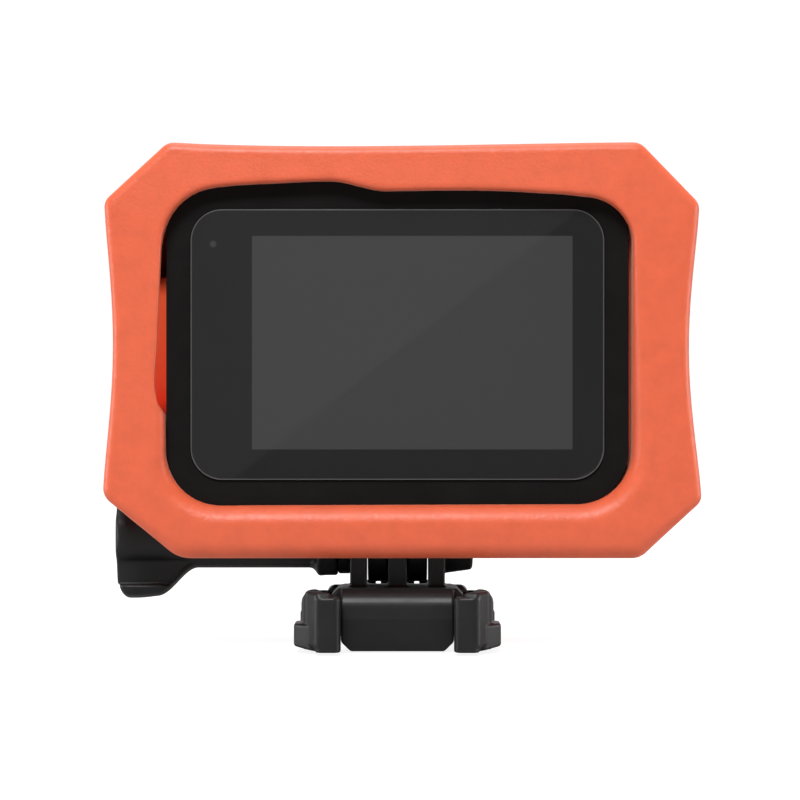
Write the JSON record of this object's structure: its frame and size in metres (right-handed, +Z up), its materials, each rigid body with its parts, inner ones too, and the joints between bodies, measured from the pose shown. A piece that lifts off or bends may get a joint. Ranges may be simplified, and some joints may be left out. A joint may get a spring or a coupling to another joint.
{
  "type": "action camera",
  "caption": "Action camera with a rear screen in a foam float, tilting on a quick-release buckle with a long thumb screw.",
  "frame": {"origin": "on the buckle's underside, straight below the middle of the pivot axis", "axes": "+X from the knob's end to the nut's end along the pivot axis, +Y from the rear screen to the lens, +Z up"},
  "size_m": [0.0917, 0.0421, 0.0786],
  "materials": {
    "foam": "matte closed-cell foam",
    "casing": "satin black moulding",
    "trim": "satin dark grey moulding",
    "cover_glass": "polished, black masked",
    "display": "dark, switched off",
    "light_guide": "clear, unlit",
    "lens_glass": "polished, coated",
    "seal": "matte",
    "steel": "satin",
    "chip": "matte",
    "board": "solder mask",
    "brass_cans": "satin",
    "spreader": "satin",
    "cell": "wrapped",
    "mount_plastic": "satin glass-filled moulding"
  },
  "bodies": {
    "buckle": {"buckle_body": "mount_plastic", "captive_nut": "steel"},
    "latch_left": {"latch_arm_left": "mount_plastic"},
    "latch_right": {"latch_arm_right": "mount_plastic"},
    "screw_carriage": {"thrust_washer": "mount_plastic"},
    "thumb_screw": {"thumb_knob": "mount_plastic", "screw_shaft": "steel"},
    "camera": {"float_frame": "foam", "body_shell": "casing", "rear_bezel": "casing", "screen_glass": "cover_glass", "front_window": "cover_glass", "side_door": "casing", "door_latch": "trim", "lens_collar": "trim", "finger_left": "mount_plastic", "finger_right": "mount_plastic", "case_gasket": "seal", "case_screws": "steel", "display_panel": "display", "status_light": "light_guide", "front_display": "display", "door_seal": "seal", "shutter_switch": "chip", "mode_switch": "chip", "lens_seal": "seal", "lens_barrel": "trim", "front_element": "lens_glass", "rear_element": "lens_glass", "lens_retainer": "trim", "image_sensor": "chip", "sensor_board": "board", "main_board": "board", "processor": "chip", "heat_spreader": "spreader", "battery": "cell", "battery_tray": "chip", "memory_card": "chip", "card_slot": "steel", "usb_port": "steel", "speaker": "chip", "microphones": "brass_cans", "hinge_pins": "steel"},
    "shutter": {"shutter_button": "trim"},
    "mode_key": {"mode_button": "trim"},
    "lens_cover": {"lens_cover_frame": "casing", "lens_cover_glass": "lens_glass"}
  },
  "joints": [
    {"name": "camera_tilt", "type": "hinge", "parent": "buckle", "child": "camera", "pos_m": [0, 0, 0.0173], "axis": [1, 0, 0], "range_deg": [-15, 15]},
    {"name": "latch_left_squeeze", "type": "hinge", "parent": "buckle", "child": "latch_left", "pos_m": [-0.013, 0.0094, 0.0045], "axis": [0, 0, 1], "range_deg": [0, 5], "stiffness_Nm_per_rad": 0.6},
    {"name": "latch_right_squeeze", "type": "hinge", "parent": "buckle", "child": "latch_right", "pos_m": [0.013, 0.0094, 0.0045], "axis": [0, 0, -1], "range_deg": [0, 5], "stiffness_Nm_per_rad": 0.6},
    {"name": "screw_travel", "type": "slide", "parent": "buckle", "child": "screw_carriage", "axis": [1, 0, 0], "range_m": [-0.004, 0]},
    {"name": "screw_turn", "type": "hinge", "parent": "screw_carriage", "child": "thumb_screw", "pos_m": [0, 0, 0.0173], "axis": [1, 0, 0], "range_deg": [-1800.5, 0]},
    {"name": "shutter_press", "type": "slide", "parent": "camera", "child": "shutter", "axis": [0, 0, -1], "range_m": [0, 0.0008], "stiffness_N_per_m": 1500},
    {"name": "mode_press", "type": "slide", "parent": "camera", "child": "mode_key", "axis": [1, 0, 0], "range_m": [0, 0.0005], "stiffness_N_per_m": 1500},
    {"name": "lens_cover_twist", "type": "hinge", "parent": "camera", "child": "lens_cover", "pos_m": [-0.0156, 0, 0.0532], "axis": [0, 1, 0], "range_deg": [0, 45]}
  ],
  "couplings": [
    {"joint": "screw_turn", "follows": "screw_travel", "rad_per_m": 7854}
  ]
}
